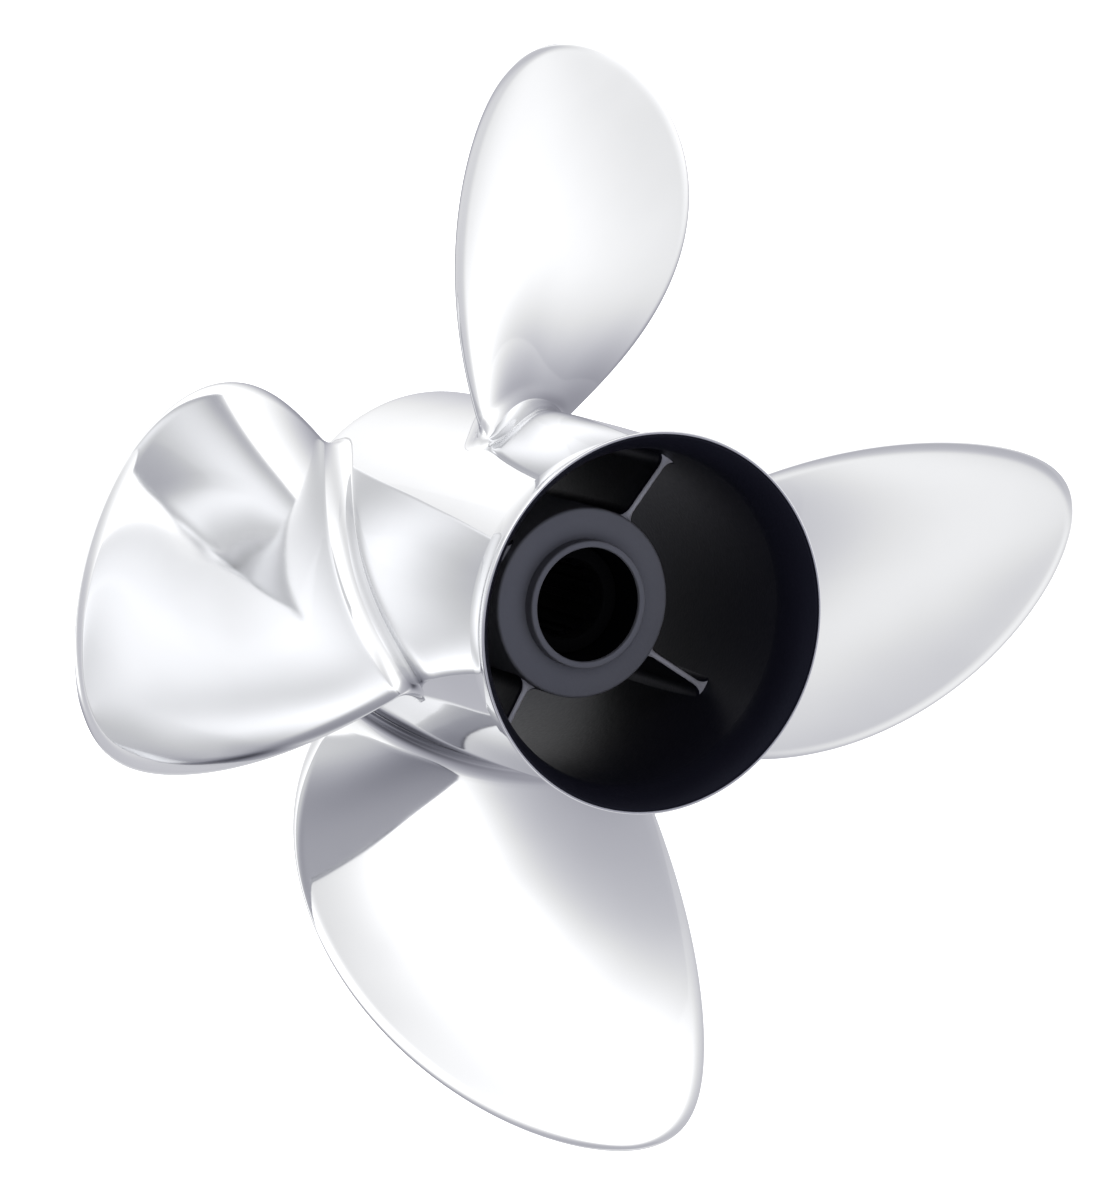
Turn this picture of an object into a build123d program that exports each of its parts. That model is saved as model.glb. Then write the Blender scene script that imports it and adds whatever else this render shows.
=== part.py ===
from build123d import *
import math
import os

# A four-bladed boat propeller with its exhaust led out through the hub, and its rubber hub kit.
# The shaft line is the Y axis: +Y is forward, towards the gearcase, and -Y is aft.
# The origin is on the shaft line, halfway along the hub. +Z is up. Lengths are in millimetres.
# Angles round the shaft are clockwise from the top, as seen from aft, which is a positive turn about +Y.

# Overall size
PROPELLER_RADIUS = 177.8
HUB_LENGTH = 152.0
BLADE_COUNT = 4

# Exhaust barrel: radii of its outer wall, from the front to the narrow waist ahead of the flare
BARREL_FRONT_RADIUS = 55.8
BARREL_BELLY_RADIUS = 57.1
BARREL_WAIST_RADIUS = 55.9
BARREL_BELLY_Y = 6.0
BARREL_WALL = 3.0
FLARE_START_Y = -60.0
RIM_RADIUS = 60.0
RIM_EDGE = 1.2

# Inner hub, which the ribs carry inside the barrel
INNER_HUB_RADIUS = 30.4
INNER_HUB_REAR_Y = -29.4
INNER_HUB_FRONT_Y = 66.0
BUSHING_SEAT_RADIUS = 25.0
SHOULDER_THICKNESS = 12.0
SHOULDER_HOLE_RADIUS = 20.5
EDGE_CHAMFER = 0.8

# Ribs
RIB_ANGLE = 34.8
RIB_THICKNESS = 2.4
RIB_FILLET = 4.0
FLANGE_LEDGE = 0.2
CORNER_REACH = 1.0
RIB_REAR_INNER_Y = -25.7
RIB_REAR_OUTER_Y = -29.5
RIB_FRONT_INNER_Y = 60.0
RIB_FRONT_OUTER_Y = 54.0

# Bushing retainer, whose lip stands out of the inner hub's rear face
RETAINER_BORE_RADIUS = 18.2
RETAINER_LIP = 4.2
RETAINER_FLANGE = 4.0
RETAINER_FLANGE_RADIUS = 24.9

# Rubber bushing and splined sleeve
RUNNING_CLEARANCE = 0.05
END_GAP = 0.5
BUSHING_LENGTH = 68.0
BUSHING_BORE_RADIUS = 15.5
BUSHING_CHAMFER = 2.0
SLEEVE_LENGTH = 73.0
PILOT_RADIUS = 13.0
PILOT_LENGTH = 14.0
SPLINE_TEETH = 15
SPLINE_ROOT_RADIUS = 12.7
SPLINE_TIP_RADIUS = 11.3
SPLINE_TOOTH_SHARE = 0.5
SPLINE_TOOTH_ROOTING = 1.0

# Washers
THRUST_WASHER_RADIUS = 24.4
THRUST_WASHER_BORE_RADIUS = 13.4
THRUST_WASHER_THICKNESS = 9.0
THRUST_CONE_DEPTH = 4.0
SPACER_RADIUS = 17.6
SPACER_BORE_RADIUS = 12.9
SPACER_THICKNESS = 6.0

# Blade: each row holds the factors of 1, t, t^2 and so on, where t runs from 0 near the root to 1 at the tip.
# The camber has a row for each power of the place across, from -1 at the trailing edge to +1 at the leading.
BLADE_ROOT_RADIUS = 50.0
SKEW_DEG = (8.3, 7.2, -13.3, -7.2)
HALF_CHORD_DEG = (35.7, 15.7, -3.0, -12.8)
RAKE_MM = (28.7, -18.7, -47.4)
PITCH_MM_PER_RADIAN = (63.6, -8.0)
BLADE_THICKNESS_MM = (8.0, -5.4)
BLADE_EDGE_THICKNESS = 1.6
BLADE_CAMBER_MM = ((0.1, -3.7, 5.4), (-2.7, 6.7, -3.4), (-3.2, -0.8), (2.6,))
BLADE_ROOT_FILLET = 5.5

# How finely the blade is laid out
BLADE_BOTTOM_Z = 35.0
BLADE_SECTIONS = 16
SECTION_POINTS = 13
TIP_FLAT = 0.04
SCAN_STEP = 0.5
SCAN_HALF_WIDTH = 140.0
BISECTIONS = 30
OUTLINE_SCAN_STEPS = 2000
SLOPE_STEP = 0.05
WALL_BAND = 1.5

rear_y = -HUB_LENGTH / 2
front_y = HUB_LENGTH / 2
seat_rear_y = INNER_HUB_REAR_Y + SHOULDER_THICKNESS
retainer_front_y = seat_rear_y + RETAINER_FLANGE
bushing_rear_y = retainer_front_y + END_GAP
bushing_front_y = bushing_rear_y + BUSHING_LENGTH
sleeve_rear_y = bushing_rear_y - END_GAP
sleeve_front_y = sleeve_rear_y + SLEEVE_LENGTH
sleeve_radius = BUSHING_BORE_RADIUS - RUNNING_CLEARANCE

os.makedirs("parts", exist_ok=True)


def save(builder, name):
    builder.part.label = name
    export_step(builder.part, f"parts/{name}.step")


# Blade shape ------------------------------------------------------------------------------------

def series(factors, t):
    return sum(factor * t**power for power, factor in enumerate(factors))


def span_at(x, z):
    """The place along the blade, 0 near the root and 1 at the tip."""
    return (math.hypot(x, z) - BLADE_ROOT_RADIUS) / (PROPELLER_RADIUS - BLADE_ROOT_RADIUS)


def turn_at(x, z):
    """The angle from the middle of the chord, positive towards the leading edge."""
    return math.atan2(x, z) - math.radians(series(SKEW_DEG, span_at(x, z)))


def chord_place(x, z):
    """The place across the blade: -1 at the trailing edge, +1 at the leading edge, beyond them outside."""
    t = span_at(x, z)
    if t >= 1:
        return math.copysign(math.inf, turn_at(x, z))
    return turn_at(x, z) / math.radians(math.sqrt(1 - t) * series(HALF_CHORD_DEG, t))


def blade_y(x, z):
    """How far forward the blade's middle surface lies."""
    t = min(span_at(x, z), 1)
    across = max(-1, min(1, chord_place(x, z)))
    helix = series(RAKE_MM, t) + series(PITCH_MM_PER_RADIAN, t) * turn_at(x, z)
    camber = sum(series(row, t) * across**power for power, row in enumerate(BLADE_CAMBER_MM))
    return helix + camber * math.sqrt(1 - t) * (1 - across**2)


def blade_thickness(x, z):
    t = min(span_at(x, z), 1)
    across = max(-1, min(1, chord_place(x, z)))
    middle = series(BLADE_THICKNESS_MM, t)
    return BLADE_EDGE_THICKNESS + (middle - BLADE_EDGE_THICKNESS) * (1 - across**2)


def edge_x(inside, outside, z):
    """The x where the blade's outline crosses this height, between a point inside and one outside."""
    for _ in range(BISECTIONS):
        middle = (inside + outside) / 2
        if abs(chord_place(middle, z)) < 1:
            inside = middle
        else:
            outside = middle
    return inside


def section_width(z):
    """The trailing and leading edges' x at this height."""
    steps = int(SCAN_HALF_WIDTH / SCAN_STEP)
    inside = [n * SCAN_STEP for n in range(-steps, steps + 1) if abs(chord_place(n * SCAN_STEP, z)) < 1]
    trailing = edge_x(inside[0], inside[0] - SCAN_STEP, z)
    leading = edge_x(inside[-1], inside[-1] + SCAN_STEP, z)
    return trailing, leading


def outline_top():
    """The highest point of the blade's outline."""
    heights = []
    for n in range(OUTLINE_SCAN_STEPS + 1):
        t = n / OUTLINE_SCAN_STEPS
        radius = BLADE_ROOT_RADIUS + t * (PROPELLER_RADIUS - BLADE_ROOT_RADIUS)
        half = math.sqrt(1 - t) * series(HALF_CHORD_DEG, t)
        for side in (-1, 1):
            heights.append(radius * math.cos(math.radians(series(SKEW_DEG, t) + side * half)))
    return max(heights)


def section_sides(z):
    """Points from the trailing to the leading edge along the section's aft and forward sides."""
    trailing, leading = section_width(z)
    aft, forward = [], []
    for n in range(SECTION_POINTS):
        x = trailing + (leading - trailing) * (1 - math.cos(math.pi * n / (SECTION_POINTS - 1))) / 2
        y = blade_y(x, z)
        slope = (blade_y(x + SLOPE_STEP, z) - blade_y(x - SLOPE_STEP, z)) / (2 * SLOPE_STEP)
        half = blade_thickness(x, z) / 2 / math.hypot(1, slope)
        aft.append((x + slope * half, y - half))
        forward.append((x - slope * half, y + half))
    return aft, forward


def on_barrel_wall(point):
    radius = math.hypot(point.X, point.Z)
    return abs(radius - BARREL_BELLY_RADIUS) < WALL_BAND and abs(point.Y) < front_y - WALL_BAND


# Shapes that several pieces are cut to ----------------------------------------------------------

def barrel_outline(inset):
    """The barrel's wall line in radius and y, moved in by this much, from the front to the flare."""
    return ThreePointArc(
        (BARREL_FRONT_RADIUS - inset, front_y),
        (BARREL_BELLY_RADIUS - inset, BARREL_BELLY_Y),
        (BARREL_WAIST_RADIUS - inset, FLARE_START_Y),
    )


with BuildPart() as barrel_blank:
    with BuildSketch(Plane.XY):
        with BuildLine():
            wall = barrel_outline(0)
            Polyline(wall @ 1, (0, FLARE_START_Y), (0, front_y), wall @ 0)
        make_face()
    revolve(axis=Axis.Y)

# The ring-shaped exhaust passage, as long as the ribs, with the slope of their front and rear edges
with BuildPart() as rib_passage:
    with BuildSketch(Plane.XY):
        with BuildLine():
            Polyline(
                (INNER_HUB_RADIUS, RIB_REAR_INNER_Y),
                (BARREL_BELLY_RADIUS, RIB_REAR_OUTER_Y),
                (BARREL_BELLY_RADIUS, RIB_FRONT_OUTER_Y),
                (INNER_HUB_RADIUS, RIB_FRONT_INNER_Y),
                close=True,
            )
        make_face()
        with BuildLine():
            wall = barrel_outline(BARREL_WALL)
            Polyline(wall @ 1, (0, FLARE_START_Y), (0, front_y), wall @ 0)
        make_face(mode=Mode.INTERSECT)
    revolve(axis=Axis.Y)

# Exhaust barrel ---------------------------------------------------------------------------------

with BuildPart() as exhaust_barrel:
    with BuildSketch(Plane.XY):
        with BuildLine():
            outer = barrel_outline(0)
            inner = barrel_outline(BARREL_WALL)
            Line(outer @ 0, inner @ 0)
            Line(outer @ 1, inner @ 1)
        make_face()
    revolve(axis=Axis.Y)
    chamfer(exhaust_barrel.edges().group_by(Axis.Y)[-1], EDGE_CHAMFER)
save(exhaust_barrel, "exhaust_barrel")

# The flare ring turns the exhaust outwards at the rear rim
with BuildPart() as flare_ring:
    with BuildSketch(Plane.XY):
        with BuildLine():
            outer = TangentArc((BARREL_WAIST_RADIUS, FLARE_START_Y), (RIM_RADIUS, rear_y), tangent=(0, -1))
            inner = TangentArc(
                (BARREL_WAIST_RADIUS - BARREL_WALL, FLARE_START_Y),
                (RIM_RADIUS - RIM_EDGE, rear_y),
                tangent=(0, -1),
            )
            Line(outer @ 0, inner @ 0)
            Line(outer @ 1, inner @ 1)
        make_face()
    revolve(axis=Axis.Y)
save(flare_ring, "flare_ring")

# Inner hub --------------------------------------------------------------------------------------

with BuildPart() as inner_hub:
    with BuildSketch(Plane.XY):
        with BuildLine():
            Polyline(
                (SHOULDER_HOLE_RADIUS, INNER_HUB_REAR_Y),
                (INNER_HUB_RADIUS, INNER_HUB_REAR_Y),
                (INNER_HUB_RADIUS, INNER_HUB_FRONT_Y),
                (BUSHING_SEAT_RADIUS, INNER_HUB_FRONT_Y),
                (BUSHING_SEAT_RADIUS, seat_rear_y),
                (SHOULDER_HOLE_RADIUS, seat_rear_y),
                close=True,
            )
        make_face()
    revolve(axis=Axis.Y)
    chamfer(inner_hub.edges().group_by(Axis.Y)[-1], EDGE_CHAMFER)
save(inner_hub, "inner_hub")

# Ribs: a strip with a flange at each end, whose corners are filleted, cut to the passage's shape
flange_width = RIB_THICKNESS + 2 * RIB_FILLET + FLANGE_LEDGE
hub_flange_top = math.sqrt(INNER_HUB_RADIUS**2 - (flange_width / 2) ** 2)
barrel_flange_bottom = BARREL_BELLY_RADIUS - BARREL_WALL
with BuildPart() as rib_blank:
    with BuildSketch(Plane.XZ.offset(-front_y)) as rib_section:
        with Locations((0, (hub_flange_top + barrel_flange_bottom) / 2)):
            Rectangle(RIB_THICKNESS, barrel_flange_bottom - hub_flange_top + 2 * RIB_FILLET)
        with Locations((0, hub_flange_top)):
            Rectangle(flange_width, 2 * RIB_FILLET, align=(Align.CENTER, Align.MAX))
        with Locations((0, barrel_flange_bottom)):
            Rectangle(flange_width, 2 * RIB_FILLET, align=(Align.CENTER, Align.MIN))
        corners = [
            v for v in rib_section.vertices()
            if abs(v.X) < RIB_THICKNESS
            and hub_flange_top - CORNER_REACH < v.Z < barrel_flange_bottom + CORNER_REACH
        ]
        fillet(corners, RIB_FILLET)
    extrude(amount=HUB_LENGTH)
    add(rib_passage.part, mode=Mode.INTERSECT)

for number in range(BLADE_COUNT):
    with BuildPart() as rib:
        add(rib_blank.part.rotate(Axis.Y, RIB_ANGLE + 360 / BLADE_COUNT * number))
    save(rib, f"rib_{number + 1}")

# Bushing retainer -------------------------------------------------------------------------------

with BuildPart() as bushing_retainer:
    with BuildSketch(Plane.XY):
        with BuildLine():
            Polyline(
                (RETAINER_BORE_RADIUS, INNER_HUB_REAR_Y - RETAINER_LIP),
                (SHOULDER_HOLE_RADIUS, INNER_HUB_REAR_Y - RETAINER_LIP),
                (SHOULDER_HOLE_RADIUS, seat_rear_y),
                (RETAINER_FLANGE_RADIUS, seat_rear_y),
                (RETAINER_FLANGE_RADIUS, retainer_front_y),
                (RETAINER_BORE_RADIUS, retainer_front_y),
                close=True,
            )
        make_face()
    revolve(axis=Axis.Y)
    chamfer(bushing_retainer.edges().group_by(Axis.Y)[0], EDGE_CHAMFER / 2)
save(bushing_retainer, "bushing_retainer")

# Rubber bushing ---------------------------------------------------------------------------------

with BuildPart() as rubber_bushing:
    with BuildSketch(Plane.XZ.offset(-bushing_rear_y)):
        Circle(BUSHING_SEAT_RADIUS - RUNNING_CLEARANCE)
        Circle(BUSHING_BORE_RADIUS, mode=Mode.SUBTRACT)
    extrude(amount=-BUSHING_LENGTH)
    chamfer(rubber_bushing.edges().group_by(Axis.Y)[0].sort_by(SortBy.RADIUS)[-1], BUSHING_CHAMFER)
    chamfer(rubber_bushing.edges().group_by(Axis.Y)[-1].sort_by(SortBy.RADIUS)[-1], BUSHING_CHAMFER)
save(rubber_bushing, "rubber_bushing")

# Splined sleeve: a plain pilot at the front and splines behind it
with BuildPart() as spline_sleeve:
    with BuildSketch(Plane.XZ.offset(-sleeve_rear_y)):
        Circle(sleeve_radius)
        Circle(SPLINE_ROOT_RADIUS, mode=Mode.SUBTRACT)
    extrude(amount=-SLEEVE_LENGTH)
    with BuildSketch(Plane.XZ.offset(-sleeve_front_y)):
        Circle(PILOT_RADIUS)
    extrude(amount=PILOT_LENGTH, mode=Mode.SUBTRACT)
    tooth_length = PILOT_RADIUS - SPLINE_TIP_RADIUS + SPLINE_TOOTH_ROOTING
    tooth_width = 2 * math.pi * SPLINE_ROOT_RADIUS / SPLINE_TEETH * SPLINE_TOOTH_SHARE
    with BuildSketch(Plane.XZ.offset(-sleeve_rear_y)):
        with PolarLocations(SPLINE_TIP_RADIUS, SPLINE_TEETH):
            Rectangle(tooth_length, tooth_width, align=(Align.MIN, Align.CENTER))
        Circle(SPLINE_TIP_RADIUS, mode=Mode.SUBTRACT)
    extrude(amount=-(SLEEVE_LENGTH - PILOT_LENGTH))
save(spline_sleeve, "spline_sleeve")

# Thrust washer: it bears on the sleeve's front end, and its cone seats on the shaft's taper
with BuildPart() as thrust_washer:
    with BuildSketch(Plane.XZ.offset(-sleeve_front_y)):
        Circle(THRUST_WASHER_RADIUS)
        Circle(THRUST_WASHER_BORE_RADIUS, mode=Mode.SUBTRACT)
    extrude(amount=-THRUST_WASHER_THICKNESS)
    chamfer(thrust_washer.edges().group_by(Axis.Y)[-1].sort_by(SortBy.RADIUS)[0], THRUST_CONE_DEPTH)
    chamfer(thrust_washer.edges().group_by(Axis.Y)[-1].sort_by(SortBy.RADIUS)[-1], EDGE_CHAMFER)
save(thrust_washer, "thrust_washer")

# Rear spacer: it bears on the sleeve's rear end, inside the retainer's bore
with BuildPart() as rear_spacer:
    with BuildSketch(Plane.XZ.offset(-sleeve_rear_y)):
        Circle(SPACER_RADIUS)
        Circle(SPACER_BORE_RADIUS, mode=Mode.SUBTRACT)
    extrude(amount=SPACER_THICKNESS)
    chamfer(rear_spacer.edges().group_by(Axis.Y)[0], EDGE_CHAMFER)
save(rear_spacer, "rear_spacer")

# Blades: sections at rising heights, closer together towards the rounded tip
blade_top = outline_top() - TIP_FLAT
with BuildPart() as blade_blank:
    for number in range(BLADE_SECTIONS):
        rise = 1 - (1 - number / (BLADE_SECTIONS - 1)) ** 2
        height = BLADE_BOTTOM_Z + (blade_top - BLADE_BOTTOM_Z) * rise
        aft, forward = section_sides(height)
        with BuildSketch(Plane.XY.offset(height)):
            with BuildLine():
                aft_side = Spline(*aft)
                forward_side = Spline(*forward)
                Line(aft_side @ 0, forward_side @ 0)
                Line(aft_side @ 1, forward_side @ 1)
            make_face()
    loft()
    # The fillets are made while the blade is joined to the barrel, which is then cut away again
    add(barrel_blank.part)
    root_edges = [
        edge for edge in blade_blank.edges().filter_by(GeomType.BSPLINE)
        if on_barrel_wall(edge @ 0.5)
    ]
    fillet(root_edges, BLADE_ROOT_FILLET)
    add(barrel_blank.part, mode=Mode.SUBTRACT)

for number in range(BLADE_COUNT):
    with BuildPart() as blade:
        add(blade_blank.part.rotate(Axis.Y, 360 / BLADE_COUNT * number))
    save(blade, f"blade_{number + 1}")
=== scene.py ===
import math

import bpy
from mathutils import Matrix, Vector


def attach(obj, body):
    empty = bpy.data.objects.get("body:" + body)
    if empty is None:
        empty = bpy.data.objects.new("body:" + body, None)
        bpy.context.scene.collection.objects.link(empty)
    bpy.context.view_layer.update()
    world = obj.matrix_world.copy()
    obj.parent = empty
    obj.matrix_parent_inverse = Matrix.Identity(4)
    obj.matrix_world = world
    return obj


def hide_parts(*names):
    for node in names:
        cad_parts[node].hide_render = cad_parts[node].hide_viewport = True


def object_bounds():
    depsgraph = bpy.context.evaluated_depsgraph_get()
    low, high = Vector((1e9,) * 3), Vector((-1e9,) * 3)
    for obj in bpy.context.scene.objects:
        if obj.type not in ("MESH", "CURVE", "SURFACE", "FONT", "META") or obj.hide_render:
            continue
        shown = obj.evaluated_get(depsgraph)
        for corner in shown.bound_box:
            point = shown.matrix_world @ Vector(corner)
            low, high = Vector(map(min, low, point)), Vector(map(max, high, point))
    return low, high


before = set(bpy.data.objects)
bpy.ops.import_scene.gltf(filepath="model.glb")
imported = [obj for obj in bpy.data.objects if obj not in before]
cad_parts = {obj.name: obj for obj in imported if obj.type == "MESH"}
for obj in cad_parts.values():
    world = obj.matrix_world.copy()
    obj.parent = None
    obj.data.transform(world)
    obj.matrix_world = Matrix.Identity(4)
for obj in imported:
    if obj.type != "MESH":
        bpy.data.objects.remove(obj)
cad_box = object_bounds()

# The propeller is worked out in millimetres and degrees, and turned into metres when a mesh is made.
# The floor and the camera are in metres.
MM = 0.001
BLADES = 4

# Barrel
HUB_HALF_LENGTH = 76.0
BARREL_FRONT_RADIUS = 55.8
BARREL_BELLY_RADIUS = 57.1
BARREL_WAIST_RADIUS = 55.9
BARREL_BELLY_Y = 6.0
BARREL_WALL = 3.0
BARREL_FRONT_ROUND = 1.2
BARREL_ARC_STEPS = 60
BARREL_SEGMENTS = 256

# Flare ring
FLARE_START_Y = -60.0
FLARE_ARC_STEPS = 20
RIM_RADIUS = 60.0
RIM_EDGE = 1.2

# Inner hub
INNER_HUB_RADIUS = 30.4
INNER_HUB_REAR_Y = -29.4
INNER_HUB_FRONT_Y = 66.0
INNER_HUB_ROUND = 1.0
INNER_HUB_SEGMENTS = 192
BUSHING_SEAT_RADIUS = 25.0
SHOULDER_Y = -17.4
SHOULDER_HOLE_RADIUS = 20.5

# Bushing retainer
RETAINER_BORE_RADIUS = 18.2
RETAINER_LIP_Y = -33.6
RETAINER_LIP_ROUND = 0.7
RETAINER_FRONT_Y = -13.4
RETAINER_FLANGE_RADIUS = 24.9
RETAINER_SEGMENTS = 160

# Ribs: a strip with a fillet along the hub and along the barrel, and rounded rear and front edges.
# The rear and front places are given at the hub and at the barrel.
RIB_DEG = 34.8
RIB_HALF_THICKNESS = 1.2
RIB_FILLET = 4.0
RIB_FILLET_SPARE = 0.5
RIB_REAR_Y = (-25.7, -29.5)
RIB_FRONT_Y = (60.0, 54.0)
RIB_EDGE_ROUND = 1.8
RIB_EDGE_LEAST_WIDTH = 0.04
RIB_SINK_IN_HUB = 0.35
RIB_SINK_IN_BARREL = 0.6
RIB_HEIGHT_STEPS = 10
RIB_LENGTH_STEPS = 8
RIB_ROUND_STEPS = 6
# Rings of the rib's rear edge that carry the painted highlight
RIB_HIGHLIGHT_STEPS = 3
RIB_SHARP_DEG = 50

# Blade laws in t, which runs from 0 near the root to 1 at the tip: the factors of 1, t, t^2 and so on.
# The tip radius is 0.1 mm smaller than the CAD model's, which keeps the rounded edge inside its box.
TIP_RADIUS = 177.7
LAW_RADIUS = 50.0
SKEW_DEG = (8.3, 7.2, -13.3, -7.2)
HALF_CHORD_DEG = (35.7, 15.7, -3.0, -12.8)
RAKE_MM = (28.7, -18.7, -47.4)
PITCH_MM_PER_RADIAN = (63.6, -8.0)

# Blade section: both sides stand off the helical surface. The camber has a row for each power of the
# place across the blade, and each row is a law in t. It is within 0.3 mm of the CAD model's.
CAMBER_MM = ((-0.2, -3.7, 5.4), (-2.7, 6.7, -3.4), (-3.2, -0.8), (2.6,))
BULGE_MM = (3.2, -2.7)
EDGE_HALF_THICKNESS = 0.8
EDGE_ROLL = 3.4

# Blade mesh: lines run from the outline in to a spine along the middle
ROOT_FILLET = 8.0
ROOT_SPARE = 0.5
ROOT_SINK = 0.05
ROOT_T = (BARREL_BELLY_RADIUS + ROOT_FILLET + ROOT_SPARE - LAW_RADIUS) / (TIP_RADIUS - LAW_RADIUS)
SPINE_END = 0.74
OUTLINE_STEPS = 150
SINE_SPACING = 0.35
EDGE_STEPS = 8
INNER_STEPS = 26
INNER_CROWDING = 1.35
FILLET_STEPS = 12
CAP_STEPS = 8
CAP_DEPTH = 1.4
NORMAL_STEP = 1e-4
LEAN_STEP = 0.02
LEAST_SPAN = 1e-9

# Rubber bushing, with a rounded bead at each end
BUSHING_Y = (-12.9, 55.1)
BUSHING_RADII = (15.5, 24.95)
BUSHING_BEAD = 2.0

# Splined sleeve
SLEEVE_Y = (-13.4, 59.6)
SLEEVE_RADIUS = 15.45
SLEEVE_ROUND = 0.5
SLEEVE_SHARP_DEG = 30
SPLINES = 15
SPLINE_ROOT = 12.7
SPLINE_TIP = 11.3
TOOTH_SHARE = 0.5
TOOTH_TIP_SHARE = 0.92
PILOT_RADIUS = 13.0
PILOT_START_Y = 45.6

# Thrust washer, with a cone for the shaft's taper, and rear spacer
WASHER_Y = (59.6, 68.6)
WASHER_RADII = (13.4, 24.4)
WASHER_CONE = 4.0
WASHER_ROUND = 0.8
SPACER_Y = (-19.4, -13.4)
SPACER_RADII = (12.9, 17.6)
SPACER_ROUND = 0.8

KIT_SEGMENTS = 128

# Every turned piece
LATHE_SHARP_DEG = 35
CORNER_STEPS = 5


# Lines and curves -------------------------------------------------------------------------------

def series(factors, t):
    return sum(factor * t**power for power, factor in enumerate(factors))


def polar(radius, angle, y):
    """A point at this angle, clockwise from the top as seen from aft."""
    return Vector((radius * math.sin(angle), y, radius * math.cos(angle)))


def circle_through(start, middle, end):
    """The centre and radius of the circle through three points."""
    (ax, ay), (bx, by), (cx, cy) = start, middle, end
    d = 2 * (ax * (by - cy) + bx * (cy - ay) + cx * (ay - by))
    x = ((ax**2 + ay**2) * (by - cy) + (bx**2 + by**2) * (cy - ay) + (cx**2 + cy**2) * (ay - by)) / d
    y = ((ax**2 + ay**2) * (cx - bx) + (bx**2 + by**2) * (ax - cx) + (cx**2 + cy**2) * (bx - ax)) / d
    return x, y, math.hypot(ax - x, ay - y)


def arc_through(start, middle, end, steps):
    """Points on the circle through three points, evenly spaced from start to end."""
    x, y, radius = circle_through(start, middle, end)
    first = math.atan2(start[1] - y, start[0] - x)
    last = math.atan2(end[1] - y, end[0] - x)
    return [
        (x + radius * math.cos(first + (last - first) * n / steps),
         y + radius * math.sin(first + (last - first) * n / steps))
        for n in range(steps + 1)
    ]


def corner(centre_radius, centre_y, size, first_deg, last_deg, steps=CORNER_STEPS):
    """A rounded corner of a profile: 0 degrees points outwards, 90 degrees points forward."""
    return [
        (centre_radius + size * math.cos(math.radians(a)), centre_y + size * math.sin(math.radians(a)))
        for a in (first_deg + (last_deg - first_deg) * n / steps for n in range(steps + 1))
    ]


# Meshes -----------------------------------------------------------------------------------------

def make_object(name, points, faces, body, node, materials, slots=None, sharp_deg=None):
    """A piece that rides on a body and stands for a CAD node. slots has each face's place in materials."""
    mesh = bpy.data.meshes.new(name)
    mesh.from_pydata([Vector(p) * MM for p in points], [], faces)
    if slots is not None:
        mesh.polygons.foreach_set("material_index", slots)
    mesh.shade_smooth()
    if sharp_deg is not None:
        mesh.set_sharp_from_angle(angle=math.radians(sharp_deg))
    for material in materials:
        mesh.materials.append(material)
    piece = bpy.data.objects.new(name, mesh)
    bpy.context.scene.collection.objects.link(piece)
    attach(piece, body)
    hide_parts(node)


def add(points, point):
    points.append(point)
    return len(points) - 1


def stitch(faces, ring, next_ring):
    """Join two closed rings of points by a band of faces."""
    for i in range(len(ring)):
        j = (i + 1) % len(ring)
        faces.append((ring[i], ring[j], next_ring[j], next_ring[i]))


def tag(points, material):
    """Profile points, each with the material of the face that starts there."""
    return [(radius, y, material) for radius, y in points]


def lathe(name, profile, segments, body, node, materials):
    """A closed ring, from a closed list of tagged points that goes round its section."""
    count = len(profile)
    profile_slots = [materials.index(material) for _, _, material in profile]
    points, faces, slots = [], [], []
    for segment in range(segments):
        angle = 2 * math.pi * segment / segments
        points += [polar(radius, angle, y) for radius, y, _ in profile]
        here, there = segment * count, (segment + 1) % segments * count
        for n in range(count):
            m = (n + 1) % count
            faces.append((here + n, here + m, there + m, there + n))
            slots.append(profile_slots[n])
    make_object(name, points, faces, body, node, materials, slots, LATHE_SHARP_DEG)


# Materials --------------------------------------------------------------------------------------

PAINT_TINT = (0.65, 0.72, 1, 1)
PAINT_PATCH_SCALE = 35.0
PAINT_GRAIN_STRENGTH = 0.3


def new_material(name):
    material = bpy.data.materials.new(name)
    material.use_nodes = True
    nodes, links = material.node_tree.nodes, material.node_tree.links
    return material, nodes, links, nodes["Principled BSDF"]


def placed(nodes, links, stretch=None):
    """Object coordinates, drawn out along an axis for grain that runs one way."""
    place = nodes.new("ShaderNodeTexCoord").outputs["Object"]
    if stretch is None:
        return place
    mapping = nodes.new("ShaderNodeMapping")
    mapping.inputs["Scale"].default_value = stretch
    links.new(place, mapping.inputs["Vector"])
    return mapping.outputs["Vector"]


def noise(nodes, links, scale, detail=3.0, stretch=None):
    texture = nodes.new("ShaderNodeTexNoise")
    texture.inputs["Scale"].default_value = scale
    texture.inputs["Detail"].default_value = detail
    links.new(placed(nodes, links, stretch), texture.inputs["Vector"])
    return texture.outputs["Fac"]


def ramped(nodes, links, source, low, high, target):
    """Drive a socket from a texture, between two values."""
    node = nodes.new("ShaderNodeMapRange")
    node.inputs["To Min"].default_value = low
    node.inputs["To Max"].default_value = high
    links.new(source, node.inputs["Value"])
    links.new(node.outputs["Result"], target)


def bump(nodes, links, source, distance, strength, shader):
    node = nodes.new("ShaderNodeBump")
    node.inputs["Distance"].default_value = distance
    node.inputs["Strength"].default_value = strength
    links.new(source, node.inputs["Height"])
    links.new(node.outputs["Normal"], shader.inputs["Normal"])


def tinted(nodes, links, source, low, high, shader):
    """Base colour that drifts between two close tones."""
    mix = nodes.new("ShaderNodeMix")
    mix.data_type = "RGBA"
    mix.inputs["A"].default_value = (*low, 1)
    mix.inputs["B"].default_value = (*high, 1)
    links.new(source, mix.inputs["Factor"])
    links.new(mix.outputs["Result"], shader.inputs["Base Color"])


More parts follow.
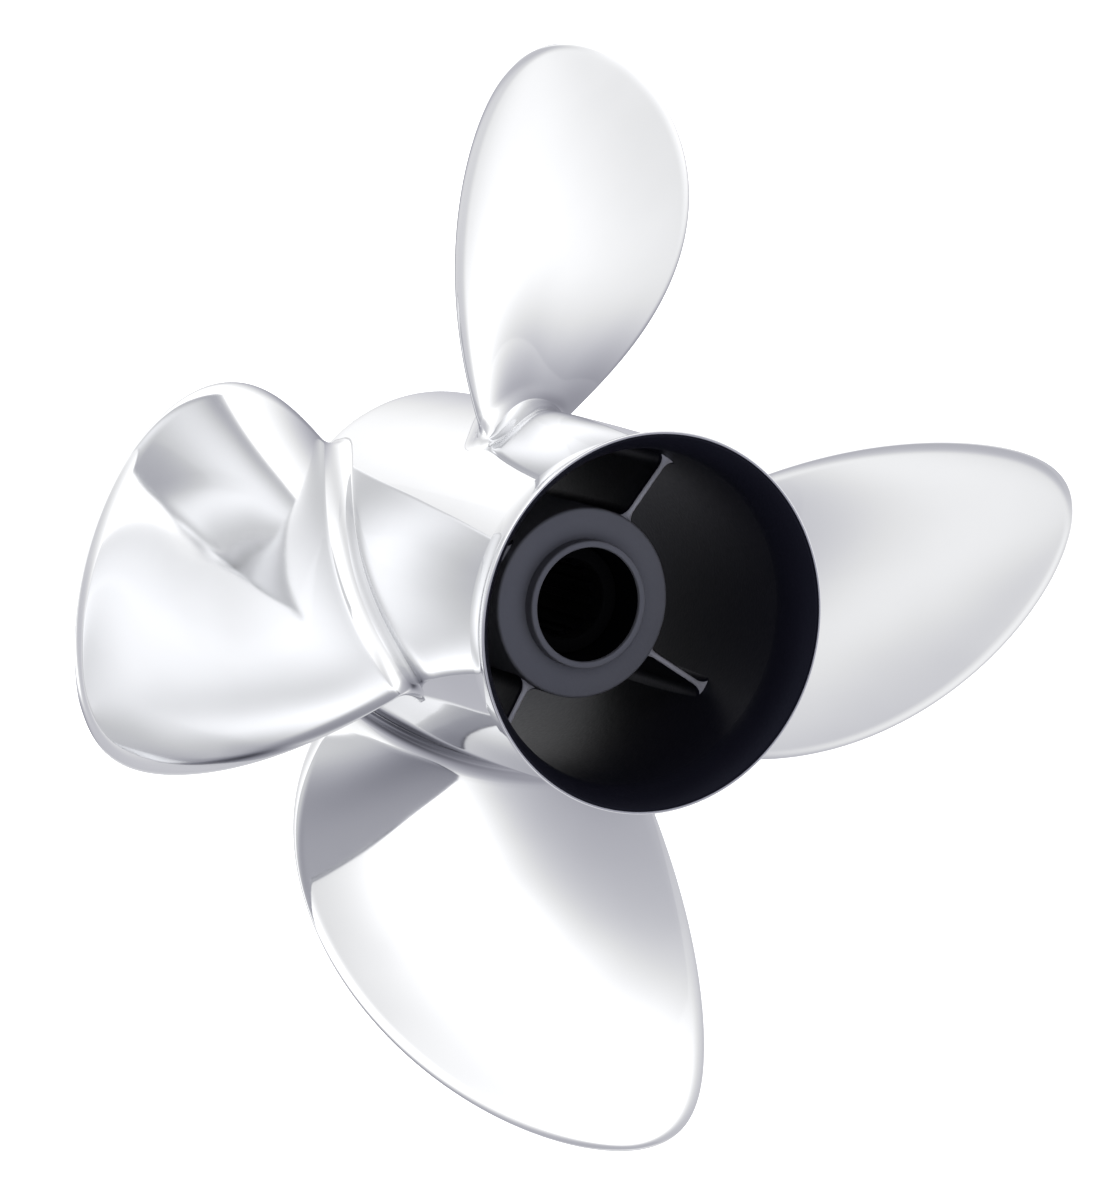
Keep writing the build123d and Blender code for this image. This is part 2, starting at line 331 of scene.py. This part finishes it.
def polished_steel():
    """Cast stainless buffed by hand: a mirror with a faint haze and the last slow waves of the wheel."""
    material, nodes, links, shader = new_material("polished_stainless")
    shader.inputs["Metallic"].default_value = 1.0
    haze = noise(nodes, links, scale=60.0)
    tinted(nodes, links, haze, (0.735, 0.74, 0.755), (0.76, 0.765, 0.78), shader)
    ramped(nodes, links, haze, 0.035, 0.085, shader.inputs["Roughness"])
    waves = noise(nodes, links, scale=24.0, detail=1.0)
    bump(nodes, links, waves, distance=0.0012, strength=0.2, shader=shader)
    return material


def paint(name, tones, roughness, shine, grain_scale=900.0, grain_depth=0.0002):
    """A dull coat or a moulding with a fine grain, in patches of two close tones."""
    material, nodes, links, shader = new_material(name)
    shader.inputs["Specular IOR Level"].default_value = shine
    shader.inputs["Specular Tint"].default_value = PAINT_TINT
    grain = noise(nodes, links, grain_scale)
    patches = noise(nodes, links, PAINT_PATCH_SCALE)
    tinted(nodes, links, patches, *tones, shader)
    ramped(nodes, links, grain, *roughness, shader.inputs["Roughness"])
    bump(nodes, links, grain, grain_depth, PAINT_GRAIN_STRENGTH, shader)
    return material


def brass():
    """Brass with fine marks that run round it."""
    material, nodes, links, shader = new_material("sleeve_brass")
    shader.inputs["Metallic"].default_value = 1.0
    marks = noise(nodes, links, scale=500.0, stretch=(1, 12, 1))
    tinted(nodes, links, marks, (0.60, 0.43, 0.19), (0.70, 0.52, 0.26), shader)
    ramped(nodes, links, marks, 0.22, 0.4, shader.inputs["Roughness"])
    return material


def turned_steel():
    """Steel faced on a lathe, with rings about the shaft line."""
    material, nodes, links, shader = new_material("turned_steel")
    shader.inputs["Metallic"].default_value = 1.0
    rings = nodes.new("ShaderNodeTexWave")
    rings.wave_type = "RINGS"
    rings.rings_direction = "Y"
    rings.inputs["Scale"].default_value = 180.0
    rings.inputs["Distortion"].default_value = 0.2
    links.new(placed(nodes, links), rings.inputs["Vector"])
    tinted(nodes, links, rings.outputs["Fac"], (0.56, 0.57, 0.58), (0.61, 0.62, 0.63), shader)
    ramped(nodes, links, rings.outputs["Fac"], 0.27, 0.34, shader.inputs["Roughness"])
    return material


steel = polished_steel()
black = paint(
    "black_exhaust_paint",
    tones=((0.003, 0.003, 0.006), (0.0055, 0.0055, 0.01)),
    roughness=(0.36, 0.48),
    shine=0.1,
)
# Lighter grey paint for the highlight where light catches the ribs' rear edges and the rim's crest: a painted
# highlight
painted_highlight_grey = paint(
    "painted_highlight_grey_paint",
    tones=((0.17, 0.17, 0.2), (0.3, 0.3, 0.34)),
    roughness=(0.35, 0.5),
    shine=0.5,
)
grey = paint(
    "grey_hub_paint",
    tones=((0.072, 0.073, 0.088), (0.088, 0.089, 0.104)),
    roughness=(0.5, 0.62),
    shine=0.5,
)
# Near black that stands in for the shade deep in the bores: painted shade
painted_shade_black = paint(
    "painted_shade_bore_black",
    tones=((0.0004, 0.0004, 0.0006), (0.0007, 0.0007, 0.0009)),
    roughness=(0.9, 1.0),
    shine=0.04,
)
rubber = paint(
    "bushing_rubber",
    tones=((0.012, 0.012, 0.012), (0.02, 0.02, 0.02)),
    roughness=(0.7, 0.85),
    shine=0.3,
    grain_scale=1400.0,
    grain_depth=0.0001,
)
# Black nylon, darkened further than the moulding's own black as painted shade of the bore it sits in
nylon_and_shade = paint(
    "black_nylon",
    tones=((0.0012, 0.0012, 0.0012), (0.002, 0.002, 0.002)),
    roughness=(0.8, 0.95),
    shine=0.05,
    grain_scale=1100.0,
    grain_depth=0.0001,
)
sleeve_metal = brass()
washer_metal = turned_steel()


# Barrel, flare ring, inner hub and retainer -----------------------------------------------------

def barrel_line(inset):
    """The three points that the barrel's arc goes through, this far inside its outer face."""
    return (
        (BARREL_FRONT_RADIUS - inset, HUB_HALF_LENGTH),
        (BARREL_BELLY_RADIUS - inset, BARREL_BELLY_Y),
        (BARREL_WAIST_RADIUS - inset, FLARE_START_Y),
    )


def barrel_radius(y):
    """The barrel's outer radius at y."""
    centre_radius, centre_y, arc = circle_through(*barrel_line(0))
    return centre_radius + math.sqrt(arc**2 - (y - centre_y) ** 2)


def build_barrel():
    size = BARREL_FRONT_ROUND
    round_y = HUB_HALF_LENGTH - size
    outside = arc_through(*barrel_line(0), BARREL_ARC_STEPS)
    inside = arc_through(*barrel_line(BARREL_WALL), BARREL_ARC_STEPS)
    inside.reverse()
    # Both arcs lose the two points at the front that its rounded edge takes the place of
    profile = (
        tag(corner(BARREL_FRONT_RADIUS - size, round_y, size, 90, 0), steel)
        + tag(outside[2:], steel)
        + tag(inside[:-2], black)
        + tag(corner(BARREL_FRONT_RADIUS - BARREL_WALL + size, round_y, size, 180, 90), black)
    )
    lathe("barrel_polished", profile, BARREL_SEGMENTS, "propeller", "exhaust_barrel", [steel, black])


def flare_arc(start_radius, end_radius):
    """The curve from the barrel out to the rim, which leaves the barrel straight."""
    rise = end_radius - start_radius
    run = HUB_HALF_LENGTH + FLARE_START_Y
    arc = (rise**2 + run**2) / (2 * rise)
    last = math.asin(run / arc)
    curve = []
    for n in range(FLARE_ARC_STEPS + 1):
        turn = last * n / FLARE_ARC_STEPS
        curve.append((start_radius + arc * (1 - math.cos(turn)), FLARE_START_Y - arc * math.sin(turn)))
    return curve


def build_flare():
    outside = flare_arc(BARREL_WAIST_RADIUS, RIM_RADIUS)
    inside = flare_arc(BARREL_WAIST_RADIUS - BARREL_WALL, RIM_RADIUS - RIM_EDGE)
    inside.reverse()
    size = RIM_EDGE / 2
    centre = RIM_RADIUS - size
    round_y = size - HUB_HALF_LENGTH
    # The rim is rounded: polished outside, lighter grey along its crest as a painted highlight, and painted
    # black inside
    profile = (
        tag([p for p in outside if p[1] > round_y], steel)
        + tag(corner(centre, round_y, size, 0, -60), steel)
        + tag(corner(centre, round_y, size, -70, -110, 3), painted_highlight_grey)
        + tag(corner(centre, round_y, size, -120, -180, 4), black)
        + tag([p for p in inside if p[1] > round_y], black)
    )
    lathe("flare_polished", profile, BARREL_SEGMENTS, "propeller", "flare_ring", [steel, black, painted_highlight_grey])


def build_inner_hub():
    size = INNER_HUB_ROUND
    profile = (
        corner(INNER_HUB_RADIUS - size, INNER_HUB_FRONT_Y - size, size, 90, 0)
        + corner(INNER_HUB_RADIUS - size, INNER_HUB_REAR_Y + size, size, 0, -90)
        + [(SHOULDER_HOLE_RADIUS, INNER_HUB_REAR_Y), (SHOULDER_HOLE_RADIUS, SHOULDER_Y),
           (BUSHING_SEAT_RADIUS, SHOULDER_Y), (BUSHING_SEAT_RADIUS, INNER_HUB_FRONT_Y)]
    )
    lathe("inner_hub_painted", tag(profile, grey), INNER_HUB_SEGMENTS, "propeller", "inner_hub", [grey])


def build_retainer():
    size = RETAINER_LIP_ROUND
    lip_y = RETAINER_LIP_Y + size
    bore_start_y = RETAINER_LIP_Y + 2 * size
    # The lip is grey, and the bore inside it is near black, a painted shade of the deep bore
    profile = (
        tag(corner(SHOULDER_HOLE_RADIUS - size, lip_y, size, 0, -90), grey)
        + tag(corner(RETAINER_BORE_RADIUS + size, lip_y, size, -90, -180), grey)
        + tag([(RETAINER_BORE_RADIUS, bore_start_y)], painted_shade_black)
        + tag([(RETAINER_BORE_RADIUS, RETAINER_FRONT_Y), (RETAINER_FLANGE_RADIUS, RETAINER_FRONT_Y),
               (RETAINER_FLANGE_RADIUS, SHOULDER_Y), (SHOULDER_HOLE_RADIUS, SHOULDER_Y)], grey)
    )
    lathe("retainer_painted", profile, RETAINER_SEGMENTS, "propeller", "bushing_retainer", [grey, painted_shade_black])


# Ribs -------------------------------------------------------------------------------------------

def rib_half_width(from_wall):
    """Half the rib's width at this distance from the wall it stands on."""
    if from_wall >= RIB_FILLET:
        return RIB_HALF_THICKNESS
    return RIB_HALF_THICKNESS + RIB_FILLET - math.sqrt(RIB_FILLET**2 - (RIB_FILLET - max(0, from_wall)) ** 2)


def rib_heights(inner, outer):
    """Radii from the hub out to the barrel, close together in the two fillets."""
    heights = []
    for n in range(RIB_HEIGHT_STEPS + 1):
        share = (1 - math.cos(math.pi * n / RIB_HEIGHT_STEPS)) / 2
        heights.append(inner + (RIB_FILLET + RIB_FILLET_SPARE) * share)
    return heights + [outer - (h - inner) for h in reversed(heights)]


def rib_places():
    """Sections from rear to front: share of the length, distance further forward, and share of the width."""
    rounding = []
    for n in range(RIB_ROUND_STEPS + 1):
        bend = math.pi / 2 * n / RIB_ROUND_STEPS
        rounding.append((RIB_EDGE_ROUND * (1 - math.cos(bend)), math.sin(bend)))
    places = [(0, inset, width) for inset, width in rounding]
    places += [(n / RIB_LENGTH_STEPS, RIB_EDGE_ROUND, 1) for n in range(1, RIB_LENGTH_STEPS)]
    places += [(1, -inset, width) for inset, width in reversed(rounding)]
    return places


def between(pair, share):
    return pair[0] + (pair[1] - pair[0]) * share


def build_rib(name, number):
    inner = INNER_HUB_RADIUS - RIB_SINK_IN_HUB
    barrel_inside = BARREL_BELLY_RADIUS - BARREL_WALL
    outer = barrel_inside + RIB_SINK_IN_BARREL
    heights = rib_heights(inner, outer)
    places = rib_places()
    turn = math.radians(RIB_DEG) + 2 * math.pi * number / BLADES
    outward = polar(1, turn, 0)
    sideways = polar(1, turn + math.pi / 2, 0)
    round_section = [(1, h) for h in heights] + [(-1, h) for h in reversed(heights)]
    points, faces, slots = [], [], []
    for share, inset, width in places:
        for side, height in round_section:
            climb = (height - inner) / (outer - inner)
            y = between((between(RIB_REAR_Y, climb), between(RIB_FRONT_Y, climb)), share) + inset
            from_wall = min(height - INNER_HUB_RADIUS, barrel_inside - height)
            half = rib_half_width(from_wall) * max(width, RIB_EDGE_LEAST_WIDTH)
            # In the fillets a point keeps its distance from the shaft line as it moves sideways
            rise = height if from_wall > RIB_FILLET else math.sqrt(max(0, height**2 - half**2))
            points.append(outward * rise + sideways * (side * half) + Vector((0, y, 0)))
    count = len(round_section)
    rings = [[place * count + n for n in range(count)] for place in range(len(places))]
    materials = [black, painted_highlight_grey]
    for place in range(len(places) - 1):
        stitch(faces, rings[place], rings[place + 1])
        # The rear edge's rounding and the rear face are lighter grey: a painted highlight of the light that
        # catches them
        slots += [materials.index(painted_highlight_grey if place < RIB_HIGHLIGHT_STEPS else black)] * count
    for ring, rear in ((rings[0], True), (rings[-1], False)):
        for n in range(len(heights) - 1):
            m = count - 1 - n
            quad = (ring[n], ring[n + 1], ring[m - 1], ring[m])
            faces.append(tuple(reversed(quad)) if rear else quad)
            slots.append(materials.index(painted_highlight_grey if rear else black))
    make_object(name, points, faces, "propeller", f"rib_{number + 1}", materials, slots, RIB_SHARP_DEG)


# Blades -----------------------------------------------------------------------------------------

def radius_at(t):
    return LAW_RADIUS + t * (TIP_RADIUS - LAW_RADIUS)


def skew_at(t):
    return math.radians(series(SKEW_DEG, t))


def blade_offsets(t, across):
    """How far the aft and forward sides stand off the helical surface, forward being positive."""
    across = max(-1, min(1, across))
    fullness = 1 - across * across
    camber = sum(series(row, t) * across**power for power, row in enumerate(CAMBER_MM))
    camber *= math.sqrt(max(0, 1 - t))
    bulge = series(BULGE_MM, t)
    return (camber - bulge) * fullness, (camber + bulge) * fullness


def helix_point(t, angle):
    """A point on the blade's helical surface."""
    y = series(RAKE_MM, t) + series(PITCH_MM_PER_RADIAN, t) * (angle - skew_at(t))
    return polar(radius_at(t), angle, y)


def helix_normal(t, angle):
    """The surface's normal, pointing forward."""
    along = helix_point(t + NORMAL_STEP, angle) - helix_point(t - NORMAL_STEP, angle)
    across = helix_point(t, angle + NORMAL_STEP) - helix_point(t, angle - NORMAL_STEP)
    normal = along.cross(across).normalized()
    return normal if normal.y > 0 else -normal


def across_at(t, angle):
    """The place across the blade, from -1 to 1."""
    half = math.radians(math.sqrt(max(LEAST_SPAN, 1 - t)) * series(HALF_CHORD_DEG, t))
    return (angle - skew_at(t)) / half


def blade_sides(t, angle, roll):
    """The points on the aft and forward sides; roll goes from 0 at the very edge to 1 past its rounding."""
    base = helix_point(t, angle)
    normal = helix_normal(t, angle)
    aft, forward = blade_offsets(t, across_at(t, angle))
    edge = EDGE_HALF_THICKNESS * roll
    return base + normal * (aft * roll - edge), base + normal * (forward * roll + edge)


def roll_levels(length):
    """Distances in from the edge, with how far the edge's rounding has gone at each."""
    levels = []
    for n in range(EDGE_STEPS + 1):
        turn = math.pi / 2 * n / EDGE_STEPS
        levels.append((EDGE_ROLL * (1 - math.cos(turn)), math.sin(turn)))
    for n in range(1, INNER_STEPS + 1):
        share = (n / INNER_STEPS) ** INNER_CROWDING
        levels.append((EDGE_ROLL + (length - EDGE_ROLL) * share, 1.0))
    return levels


def line_ends(line):
    """Where a line starts on the outline and ends on the spine, each as t and angle."""
    even = 2 * line / OUTLINE_STEPS - 1
    v = SINE_SPACING * math.sin(math.pi / 2 * even) + (1 - SINE_SPACING) * even
    edge_t = 1 - v * v * (1 - ROOT_T)
    edge_angle = skew_at(edge_t) + math.radians(
        v * math.sqrt(1 - ROOT_T) * series(HALF_CHORD_DEG, edge_t))
    spine_t = ROOT_T + (SPINE_END - ROOT_T) * (1 - v * v)
    return edge_t, edge_angle, spine_t, skew_at(spine_t)


def add_skin(points):
    """Both sides' points. The grids have a row for each line, from the trailing edge's root round the tip."""
    aft_grid, forward_grid = [], []
    for line in range(OUTLINE_STEPS + 1):
        edge_t, edge_angle, spine_t, spine_angle = line_ends(line)
        length = (helix_point(edge_t, edge_angle) - helix_point(spine_t, spine_angle)).length
        aft_row, forward_row = [], []
        for level, (distance, roll) in enumerate(roll_levels(length)):
            share = distance / length
            t = edge_t + (spine_t - edge_t) * share
            angle = edge_angle + (spine_angle - edge_angle) * share
            aft, forward = blade_sides(t, angle, roll)
            if level == 0:
                # The two sides share the very edge
                shared = add(points, (aft + forward) / 2)
                aft_row.append(shared)
                forward_row.append(shared)
            elif level == EDGE_STEPS + INNER_STEPS and line > OUTLINE_STEPS // 2:
                # Past the tip, a line ends on the spine where its mirror line did
                mirror = OUTLINE_STEPS - line
                aft_row.append(aft_grid[mirror][-1])
                forward_row.append(forward_grid[mirror][-1])
            else:
                aft_row.append(add(points, aft))
                forward_row.append(add(points, forward))
        aft_grid.append(aft_row)
        forward_grid.append(forward_row)
    return aft_grid, forward_grid


def skin_faces(aft_grid, forward_grid):
    faces = []
    for line in range(OUTLINE_STEPS):
        for level in range(EDGE_STEPS + INNER_STEPS):
            for grid, flip in ((aft_grid, False), (forward_grid, True)):
                here, there = grid[line], grid[line + 1]
                quad = [here[level], there[level], there[level + 1], here[level + 1]]
                # At the tip two corners are one point
                quad = list(dict.fromkeys(quad))
                if len(quad) > 2:
                    faces.append(tuple(reversed(quad)) if flip else tuple(quad))
    return faces


def root_lean(point):
    """How far the blade's surface runs along Y for each millimetre in towards the shaft."""
    angle = math.atan2(point.x, point.z)
    inner = helix_point(ROOT_T - LEAN_STEP, angle)
    outer = helix_point(ROOT_T, angle)
    return (inner.y - outer.y) / (radius_at(ROOT_T) - radius_at(ROOT_T - LEAN_STEP))


def add_root_fillet(points, faces, loop):
    """Spread the section out onto the barrel along a quarter circle, and give back the last ring."""
    base = [points[i].copy() for i in loop]
    lean = [root_lean(point) for point in base]
    previous = loop
    for step in range(1, FILLET_STEPS + 1):
        bend = math.pi / 2 * step / FILLET_STEPS
        height = ROOT_FILLET * (1 - math.sin(bend))
        spread = ROOT_FILLET * (1 - math.cos(bend))
        ring = []
        for i, here in enumerate(base):
            ahead, behind = base[(i + 1) % len(base)], base[i - 1]
            radial = Vector((here.x, 0, here.z)).normalized()
            outward = (ahead - behind).cross(radial).normalized()
            moved = here + outward * spread
            radius = barrel_radius(max(-HUB_HALF_LENGTH, min(HUB_HALF_LENGTH, moved.y))) + height
            y = moved.y + lean[i] * (math.hypot(here.x, here.z) - radius)
            if step == FILLET_STEPS:
                radius -= ROOT_SINK
            ring.append(add(points, polar(radius, math.atan2(moved.x, moved.z), y)))
        stitch(faces, previous, ring)
        previous = ring
    return previous


def add_root_cap(points, faces, loop):
    """Close the root within the thickness of the barrel's wall."""
    middle = sum((points[i] for i in loop), Vector()) / len(loop)
    middle_angle = math.atan2(middle.x, middle.z)
    previous = loop
    for step in range(1, CAP_STEPS):
        share = step / CAP_STEPS
        ring = []
        for i in loop:
            angle = math.atan2(points[i].x, points[i].z) * (1 - share) + middle_angle * share
            y = points[i].y * (1 - share) + middle.y * share
            ring.append(add(points, polar(barrel_radius(y) - CAP_DEPTH, angle, y)))
        stitch(faces, previous, ring)
        previous = ring
    centre = add(points, polar(barrel_radius(middle.y) - CAP_DEPTH, middle_angle, middle.y))
    for i in range(len(loop)):
        faces.append((previous[i], previous[(i + 1) % len(loop)], centre))


def blade_shape():
    """The points and faces of the blade that stands at the top."""
    points = []
    aft_grid, forward_grid = add_skin(points)
    faces = skin_faces(aft_grid, forward_grid)
    # The root's outline: along the aft side from trailing to leading edge, back along the forward side
    loop = aft_grid[0] + aft_grid[-1][-2::-1] + forward_grid[-1][1:] + forward_grid[0][-2:0:-1]
    add_root_cap(points, faces, add_root_fillet(points, faces, loop))
    return points, faces


def build_blades():
    points, faces = blade_shape()
    for number in range(BLADES):
        turn = 2 * math.pi * number / BLADES
        turned = [polar(math.hypot(p.x, p.z), math.atan2(p.x, p.z) + turn, p.y) for p in points]
        name = f"blade_{number + 1}"
        make_object(f"{name}_polished", turned, faces, "propeller", name, [steel])


# Hub kit ----------------------------------------------------------------------------------------

def build_rubber():
    inner, outer = BUSHING_RADII
    rear, front = BUSHING_Y
    size = BUSHING_BEAD
    profile = (
        corner(outer - size, front - size, size, 90, 0)
        + corner(outer - size, rear + size, size, 0, -90)
        + [(inner, rear), (inner, front)]
    )
    lathe("rubber_moulded", tag(profile, rubber), KIT_SEGMENTS, "bushing", "rubber_bushing", [rubber])


def spline_ring(root, tip):
    """One turn of the splined bore as (radius, angle): every tooth has two flanks and a flat tip."""
    ring = []
    pitch = 2 * math.pi / SPLINES
    half = pitch * TOOTH_SHARE / 2
    tip_half = half * TOOTH_TIP_SHARE
    for tooth in range(SPLINES):
        middle = tooth * pitch + pitch / 4
        ring += [
            (root, middle - half), (tip, middle - tip_half), (tip, middle), (tip, middle + tip_half),
            (root, middle + half), (root, middle + pitch / 2),
        ]
    return ring


def build_sleeve():
    """A brass sleeve, its splined bore painted near black as painted shade deep inside it."""
    rear, front = SLEEVE_Y
    size = SLEEVE_ROUND
    # Round the section: y, the radius at the teeth's roots and at their tips, and the next band's material
    levels = [
        (rear + size, SLEEVE_RADIUS, SLEEVE_RADIUS, sleeve_metal),
        (rear, SLEEVE_RADIUS - size, SLEEVE_RADIUS - size, sleeve_metal),
        (rear, SPLINE_ROOT + size, SPLINE_ROOT + size, painted_shade_black),
        (rear + size, SPLINE_ROOT, SPLINE_TIP, painted_shade_black),
        (PILOT_START_Y - size, SPLINE_ROOT, SPLINE_TIP, painted_shade_black),
        (PILOT_START_Y, PILOT_RADIUS, PILOT_RADIUS, painted_shade_black),
        (front - size, PILOT_RADIUS, PILOT_RADIUS, sleeve_metal),
        (front, PILOT_RADIUS + size, PILOT_RADIUS + size, sleeve_metal),
        (front, SLEEVE_RADIUS - size, SLEEVE_RADIUS - size, sleeve_metal),
        (front - size, SLEEVE_RADIUS, SLEEVE_RADIUS, sleeve_metal),
    ]
    materials = [sleeve_metal, painted_shade_black]
    points, faces, slots = [], [], []
    for y, root, tip, _ in levels:
        points += [polar(radius, angle, y) for radius, angle in spline_ring(root, tip)]
    count = len(points) // len(levels)
    for level, (_, _, _, material) in enumerate(levels):
        below, above = level * count, (level + 1) % len(levels) * count
        for n in range(count):
            m = (n + 1) % count
            faces.append((below + n, above + n, above + m, below + m))
            slots.append(materials.index(material))
    make_object("sleeve_machined", points, faces, "shaft_core", "spline_sleeve", materials, slots,
                SLEEVE_SHARP_DEG)


def build_washer():
    inner, outer = WASHER_RADII
    rear, front = WASHER_Y
    size = WASHER_ROUND
    profile = (
        corner(outer - size, front - size, size, 90, 0)
        + corner(outer - size, rear + size, size, 0, -90)
        + [(inner, rear), (inner, front - WASHER_CONE), (inner + WASHER_CONE, front)]
    )
    lathe("thrust_washer_turned", tag(profile, washer_metal), KIT_SEGMENTS, "shaft_core", "thrust_washer",
          [washer_metal])


def build_spacer():
    inner, outer = SPACER_RADII
    rear, front = SPACER_Y
    size = SPACER_ROUND
    profile = (
        [(outer, front)]
        + corner(outer - size, rear + size, size, 0, -90)
        + corner(inner + size, rear + size, size, -90, -180)
        + [(inner, front)]
    )
    lathe("spacer_moulded", tag(profile, nylon_and_shade), KIT_SEGMENTS, "shaft_core", "rear_spacer", [nylon_and_shade])


build_blades()
build_barrel()
build_flare()
build_inner_hub()
build_retainer()
for number in range(BLADES):
    build_rib(f"rib_{number + 1}_painted", number)
build_rubber()
build_sleeve()
build_washer()
build_spacer()

# Studio -----------------------------------------------------------------------------------------

FLOOR_BELOW_PROPELLER = 0.12
FLOOR_HALF_WIDTH = 30
FLOOR_TONE = (0.9, 0.9, 0.9, 1)
FLOOR_GLOW = 0.6
WHITE = (1, 1, 1, 1)

# Soft lights and dark flags of the studio, each a soft-edged oval: azimuth (0 is aft, positive towards +X),
# elevation, half width and half height in degrees, and strength, which is negative for a flag
SOFT_LIGHTS = (
    (-30, 35, 20, 10, 1.5),     # key, a wide box above the camera
    (0, 75, 30, 10, 1.0),       # overhead strip along the barrel
    (180, 45, 30, 20, 1.0),     # box high in front
    (90, 0, 10, 30, 1.0),       # tall strip on the right
    (0, -50, 30, 10, 0.5),      # low fill aft
    (-90, -30, 30, 20, -0.6),   # flag low on the left
    (130, 0, 15, 30, -0.5),     # flag in front on the right
)
AMBIENT = 0.7
DARKEST = 0.02
DARK_TINT = (0.9, 0.9, 1.1)


def build_floor():
    z = cad_box[0][2] - FLOOR_BELOW_PROPELLER
    half = FLOOR_HALF_WIDTH
    mesh = bpy.data.meshes.new("floor")
    corners = [(-half, -half, z), (half, -half, z), (half, half, z), (-half, half, z)]
    mesh.from_pydata(corners, [], [(0, 1, 2, 3)])
    floor = bpy.data.objects.new("floor", mesh)
    bpy.context.scene.collection.objects.link(floor)
    material, _, _, shader = new_material("floor_white")
    shader.inputs["Base Color"].default_value = FLOOR_TONE
    shader.inputs["Roughness"].default_value = 1.0
    shader.inputs["Emission Color"].default_value = WHITE
    shader.inputs["Emission Strength"].default_value = FLOOR_GLOW
    mesh.materials.append(material)
    floor.visible_glossy = False


def direction(azimuth, elevation):
    a, e = math.radians(azimuth), math.radians(elevation)
    return Vector((math.sin(a) * math.cos(e), -math.cos(a) * math.cos(e), math.sin(e)))


def math_node(nodes, links, operation, *inputs):
    """A math node whose inputs are numbers or other nodes' outputs."""
    node = nodes.new("ShaderNodeMath")
    node.operation = operation
    for socket, value in zip(node.inputs, inputs):
        if isinstance(value, (int, float)):
            socket.default_value = value
        else:
            links.new(value, socket)
    return node.outputs[0]


def dot_with(nodes, links, place, axis):
    node = nodes.new("ShaderNodeVectorMath")
    node.operation = "DOT_PRODUCT"
    links.new(place, node.inputs[0])
    node.inputs[1].default_value = axis
    return node.outputs["Value"]


def soft_oval(nodes, links, place, azimuth, elevation, half_width, half_height):
    """1 in the middle of the oval, falling smoothly to 0 round it."""
    centre = direction(azimuth, elevation)
    a = math.radians(azimuth)
    wide = Vector((math.cos(a), math.sin(a), 0))
    high = centre.cross(wide)
    x = dot_with(nodes, links, place, wide / math.sin(math.radians(half_width)))
    y = dot_with(nodes, links, place, high / math.sin(math.radians(half_height)))
    squares = math_node(nodes, links, "ADD", math_node(nodes, links, "MULTIPLY", x, x),
                        math_node(nodes, links, "MULTIPLY", y, y))
    fall = math_node(nodes, links, "EXPONENT", math_node(nodes, links, "MULTIPLY", squares, -0.5))
    this_side = math_node(nodes, links, "GREATER_THAN", dot_with(nodes, links, place, centre), 0.0)
    return math_node(nodes, links, "MULTIPLY", fall, this_side)


def build_world():
    """The studio as reflections and light see it. The camera itself sees plain white."""
    world = bpy.data.worlds.new("studio")
    bpy.context.scene.world = world
    world.use_nodes = True
    nodes, links = world.node_tree.nodes, world.node_tree.links
    place = nodes.new("ShaderNodeTexCoord").outputs["Generated"]
    total = AMBIENT
    for *shape, strength in SOFT_LIGHTS:
        oval = soft_oval(nodes, links, place, *shape)
        total = math_node(nodes, links, "MULTIPLY_ADD", oval, strength, total)
    total = math_node(nodes, links, "MAXIMUM", total, DARKEST)
    studio = nodes["Background"]
    links.new(total, studio.inputs["Strength"])
    # The darker parts of the studio are a little blue
    tint = nodes.new("ShaderNodeMix")
    tint.data_type = "RGBA"
    tint.inputs["A"].default_value = (*DARK_TINT, 1)
    tint.inputs["B"].default_value = WHITE
    links.new(total, tint.inputs["Factor"])
    links.new(tint.outputs["Result"], studio.inputs["Color"])
    white = nodes.new("ShaderNodeBackground")
    white.inputs["Color"].default_value = WHITE
    rays = nodes.new("ShaderNodeLightPath")
    choose = nodes.new("ShaderNodeMixShader")
    links.new(rays.outputs["Is Camera Ray"], choose.inputs["Fac"])
    links.new(studio.outputs[0], choose.inputs[1])
    links.new(white.outputs[0], choose.inputs[2])
    links.new(choose.outputs[0], nodes["World Output"].inputs["Surface"])


build_floor()
build_world()
bpy.context.scene.view_settings.view_transform = "Standard"

# Camera -----------------------------------------------------------------------------------------

CAMERA_AZIMUTH = -28.0
CAMERA_ELEVATION = 8.82
CAMERA_DISTANCE = 2.134
CAMERA_LENS = 203.5
SENSOR_WIDTH = 36.0
CAMERA_REACH = 100.0
AIM_RIGHT = 0.0056
AIM_UP = -0.0003
AIM_FORWARD = 0.0009


def build_camera():
    back = direction(CAMERA_AZIMUTH, CAMERA_ELEVATION)
    right = (-back).cross(Vector((0, 0, 1))).normalized()
    up = right.cross(-back)
    aim = right * AIM_RIGHT + up * AIM_UP + Vector((0, AIM_FORWARD, 0))
    data = bpy.data.cameras.new("camera")
    data.lens = CAMERA_LENS
    data.sensor_width = SENSOR_WIDTH
    data.clip_end = CAMERA_REACH
    camera = bpy.data.objects.new("camera", data)
    camera.location = aim + back * CAMERA_DISTANCE
    camera.rotation_euler = (-back).to_track_quat("-Z", "Y").to_euler()
    bpy.context.scene.collection.objects.link(camera)
    bpy.context.scene.camera = camera


build_camera()
